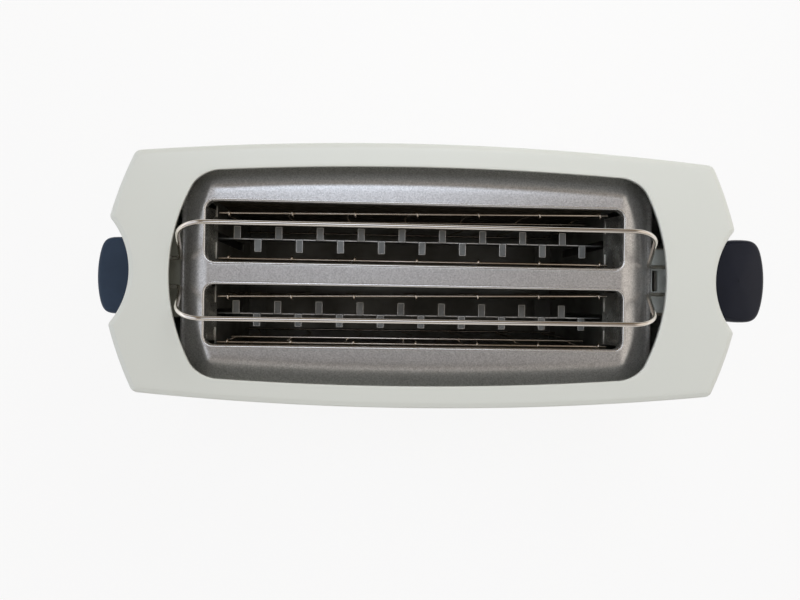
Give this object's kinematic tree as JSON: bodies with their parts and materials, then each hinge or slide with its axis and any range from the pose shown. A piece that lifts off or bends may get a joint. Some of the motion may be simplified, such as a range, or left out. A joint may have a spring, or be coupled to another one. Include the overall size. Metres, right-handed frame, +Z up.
{
  "type": "toaster",
  "caption": "Long-slot toaster with a white shell, silver top plate, folding warming wires, sprung bread carriage, lever knobs at both ends, browning dial, push buttons and a crumb tray.",
  "frame": {"origin": "on the resting surface, below the middle of the box round the whole toaster", "axes": "+X along the slots towards the warming rack's lever, +Y across towards the back with the mains inlet, +Z up"},
  "size_m": [0.4332, 0.1594, 0.2163],
  "materials": {
    "housing": "semi-gloss moulded plastic",
    "plate": "satin silver paint",
    "plinth": "satin",
    "chassis": "galvanised",
    "tray": "satin",
    "rubber": "matt",
    "panel": "satin",
    "knob": "polished",
    "wire": "bright chrome",
    "steel": "plain",
    "dark_steel": "heat darkened",
    "mica": "mica sheet",
    "ribbon": "oxidised",
    "nylon": "nylon",
    "ledge": "satin",
    "coil": "enamelled wire",
    "board": "circuit board",
    "spring": "spring wire",
    "dial": "satin",
    "button": "satin"
  },
  "bodies": {
    "case": {"housing": "housing", "top_plate": "plate", "base_plinth": "plinth", "chassis_floor": "chassis", "case_screws": "steel", "control_panel": "panel", "rack_panel": "panel", "end_frame_left": "steel", "end_frame_right": "steel", "slot_guides_left": "steel", "slot_guides_right": "steel", "carriage_rods": "steel", "lift_spring": "spring", "magnet_core": "steel", "magnet_coil": "coil", "circuit_board": "board", "contact_block": "nylon", "button_switches": "nylon", "browning_pot": "nylon", "rack_rods": "steel", "rack_shelf": "steel", "rack_ledge_left": "ledge", "rack_ledge_right": "ledge", "cable_gland": "nylon", "foot_front_left": "rubber", "foot_front_right": "rubber", "foot_back_left": "rubber", "foot_back_right": "rubber", "reflector_front": "dark_steel", "reflector_back": "dark_steel", "heater_board_front": "mica", "heater_board_middle": "mica", "heater_board_back": "mica", "heater_ribbon_front": "ribbon", "heater_ribbon_middle": "ribbon", "heater_ribbon_back": "ribbon"},
    "carriage": {"carriage_knob": "knob", "carriage_stem": "steel", "carriage_slider": "nylon", "carriage_bracket": "steel", "keeper_plate": "steel", "carrier_strip_front": "steel", "carrier_strip_back": "steel"},
    "rack_lift": {"rack_knob": "knob", "rack_stem": "steel", "rack_lift_plate": "steel", "rack_slide_block": "nylon"},
    "rack_front": {"rack_wire_front": "wire"},
    "rack_back": {"rack_wire_back": "wire"},
    "guard_front_outer": {"guard_front_outer": "steel"},
    "guard_front_inner": {"guard_front_inner": "steel"},
    "guard_back_inner": {"guard_back_inner": "steel"},
    "guard_back_outer": {"guard_back_outer": "steel"},
    "dial": {"browning_dial": "dial"},
    "stop_button": {"stop_button": "button"},
    "defrost_button": {"defrost_button": "button"},
    "reheat_button": {"reheat_button": "button"},
    "tray": {"crumb_tray": "tray"}
  },
  "joints": [
    {"name": "carriage_slide", "type": "slide", "parent": "case", "child": "carriage", "axis": [0, 0, 1], "range_m": [-0.068, 0], "stiffness_N_per_m": 90, "springref_m": 0.05, "deforming": ["lift_spring"]},
    {"name": "guard_front_outer_lean", "type": "hinge", "parent": "case", "child": "guard_front_outer", "pos_m": [-0.0067, -0.03925, 0.034], "axis": [1, 0, 0], "range_deg": [-3.5, 0]},
    {"name": "guard_front_inner_lean", "type": "hinge", "parent": "case", "child": "guard_front_inner", "pos_m": [-0.0067, -0.01085, 0.034], "axis": [1, 0, 0], "range_deg": [0, 3.5]},
    {"name": "guard_back_inner_lean", "type": "hinge", "parent": "case", "child": "guard_back_inner", "pos_m": [-0.0067, 0.01085, 0.034], "axis": [1, 0, 0], "range_deg": [-3.5, 0]},
    {"name": "guard_back_outer_lean", "type": "hinge", "parent": "case", "child": "guard_back_outer", "pos_m": [-0.0067, 0.03925, 0.034], "axis": [1, 0, 0], "range_deg": [0, 3.5]},
    {"name": "rack_slide", "type": "slide", "parent": "case", "child": "rack_lift", "axis": [0, 0, 1], "range_m": [-0.01587, 0]},
    {"name": "rack_front_fold", "type": "hinge", "parent": "case", "child": "rack_front", "pos_m": [0, -0.0086, 0.178], "axis": [1, 0, 0], "range_deg": [0, 52.45]},
    {"name": "rack_back_fold", "type": "hinge", "parent": "case", "child": "rack_back", "pos_m": [0, 0.0086, 0.178], "axis": [1, 0, 0], "range_deg": [-52.45, 0]},
    {"name": "browning_turn", "type": "hinge", "parent": "case", "child": "dial", "pos_m": [-0.17, 0, 0.034], "axis": [1, 0, 0], "range_deg": [-135, 135]},
    {"name": "stop_button_press", "type": "slide", "parent": "case", "child": "stop_button", "axis": [1, 0, 0], "range_m": [0, 0.002], "stiffness_N_per_m": 300, "springref_m": -0.003},
    {"name": "defrost_button_press", "type": "slide", "parent": "case", "child": "defrost_button", "axis": [1, 0, 0], "range_m": [0, 0.002], "stiffness_N_per_m": 300, "springref_m": -0.003},
    {"name": "reheat_button_press", "type": "slide", "parent": "case", "child": "reheat_button", "axis": [1, 0, 0], "range_m": [0, 0.002], "stiffness_N_per_m": 300, "springref_m": -0.003},
    {"name": "tray_slide", "type": "slide", "parent": "case", "child": "tray", "axis": [0, 1, 0], "range_m": [0, 0.11]}
  ],
  "couplings": [
    {"joint": "guard_front_outer_lean", "follows": "carriage_slide", "rad_per_m": 0.89743},
    {"joint": "guard_front_inner_lean", "follows": "carriage_slide", "rad_per_m": -0.89743},
    {"joint": "guard_back_inner_lean", "follows": "carriage_slide", "rad_per_m": 0.89743},
    {"joint": "guard_back_outer_lean", "follows": "carriage_slide", "rad_per_m": -0.89743},
    {"joint": "rack_front_fold", "follows": "rack_slide", "rad_per_m": -57.679},
    {"joint": "rack_back_fold", "follows": "rack_slide", "rad_per_m": 57.679}
  ]
}
